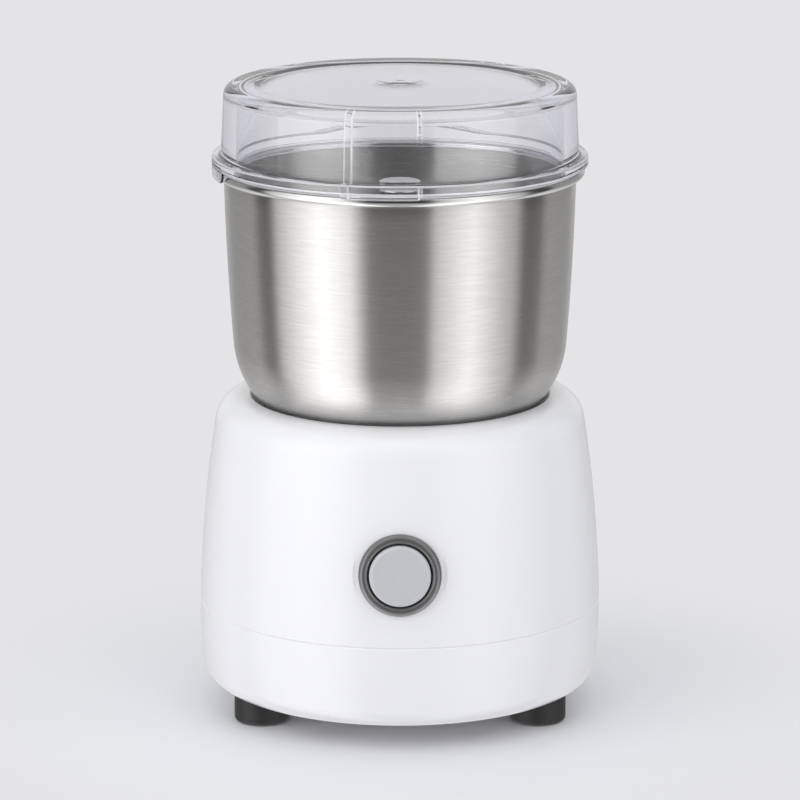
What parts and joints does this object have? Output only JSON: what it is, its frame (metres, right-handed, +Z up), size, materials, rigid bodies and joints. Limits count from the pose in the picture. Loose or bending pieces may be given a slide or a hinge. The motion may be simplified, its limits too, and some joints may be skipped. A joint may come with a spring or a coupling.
{
  "type": "electric spice grinder",
  "caption": "Electric spice grinder: a tapered steel bowl with blades on a tall post and a clear lid sits in a round white motor base with a push button.",
  "frame": {"origin": "middle of the footprint on the floor that the feet stand on, on the axis of the bowl", "axes": "+Z up along the bowl's axis; the push button faces -Y and the cord inlet faces +Y"},
  "size_m": [0.1098, 0.1129, 0.1729],
  "materials": {
    "casing_white": "gloss",
    "lid_clear": "gloss",
    "bowl_steel": "brushed round the bowl, polished on the bead",
    "post_steel": "turned",
    "blade_steel": "ground",
    "foot_rubber": "matt",
    "seal_rubber": "matt",
    "bezel_grey": "dark satin anodised",
    "cap_grey": "satin",
    "hub_plastic": "satin",
    "can_steel": "zinc plated",
    "core_steel": "laminated",
    "magnet_ferrite": "matt",
    "winding_copper": "enamelled",
    "brass_part": "satin",
    "brush_carbon": "matt",
    "screw_steel": "zinc plated",
    "switch_plastic": "satin",
    "board_laminate": "satin",
    "capacitor_case": "satin"
  },
  "bodies": {
    "base": {"base_shell": "casing_white", "seat_well": "casing_white", "bottom_cover": "casing_white", "seat_ring": "seal_rubber", "cover_screws": "screw_steel", "foot_screws": "screw_steel", "foot_left": "foot_rubber", "foot_right": "foot_rubber", "foot_rear": "foot_rubber", "motor_can": "can_steel", "magnet_left": "magnet_ferrite", "magnet_right": "magnet_ferrite", "motor_end_bell": "can_steel", "upper_bearing": "brass_part", "lower_bearing": "brass_part", "carbon_brush_left": "brush_carbon", "carbon_brush_right": "brush_carbon", "brush_holder_left": "brass_part", "brush_holder_right": "brass_part", "brush_spring_left": "screw_steel", "brush_spring_right": "screw_steel", "motor_bracket": "can_steel", "motor_grommets": "seal_rubber", "mount_screws": "screw_steel", "motor_screws": "screw_steel", "button_bezel": "bezel_grey", "bezel_nut": "can_steel", "switch_body": "switch_plastic", "switch_bracket": "can_steel", "switch_terminals": "brass_part", "rectifier_board": "board_laminate", "bridge_rectifier": "switch_plastic", "suppression_capacitor": "capacitor_case", "cord_grommet": "seal_rubber"},
    "bowl": {"bowl": "bowl_steel", "bowl_hub": "hub_plastic", "hub_gasket": "seal_rubber", "hub_nut": "hub_plastic", "spindle_bush": "brass_part", "shaft_seal": "seal_rubber"},
    "spindle": {"blade_spindle": "post_steel", "thrust_washer": "brass_part", "lower_spacer": "post_steel", "lower_blade": "blade_steel", "middle_spacer": "post_steel", "upper_blade": "blade_steel", "upper_spacer": "post_steel", "post_screw": "post_steel", "bowl_coupling": "hub_plastic"},
    "lid": {"lid": "lid_clear"},
    "rotor": {"motor_shaft": "post_steel", "armature_core": "core_steel", "armature_windings": "winding_copper", "commutator": "winding_copper", "cooling_fan": "hub_plastic", "drive_coupling": "hub_plastic"},
    "button": {"button_cap": "cap_grey", "stem_clip": "screw_steel", "button_spring": "screw_steel", "switch_plunger": "cap_grey"}
  },
  "joints": [
    {"name": "bowl_lift", "type": "slide", "parent": "base", "child": "bowl", "axis": [0, 0, 1], "range_m": [0, 0.08]},
    {"name": "lid_lift", "type": "slide", "parent": "bowl", "child": "lid", "axis": [0, 0, 1], "range_m": [0, 0.06]},
    {"name": "spindle_spin", "type": "hinge", "parent": "bowl", "child": "spindle", "pos_m": [0, 0, 0.078], "axis": [0, 0, 1], "continuous": true},
    {"name": "rotor_spin", "type": "hinge", "parent": "base", "child": "rotor", "pos_m": [0, 0, 0.035], "axis": [0, 0, 1], "continuous": true},
    {"name": "button_press", "type": "slide", "parent": "base", "child": "button", "axis": [0, 0.9972, -0.0746], "range_m": [0, 0.002], "stiffness_N_per_m": 600, "springref_m": -0.003, "deforming": ["button_spring"]}
  ],
  "couplings": [
    {"joint": "spindle_spin", "follows": "rotor_spin", "ratio": 1}
  ]
}
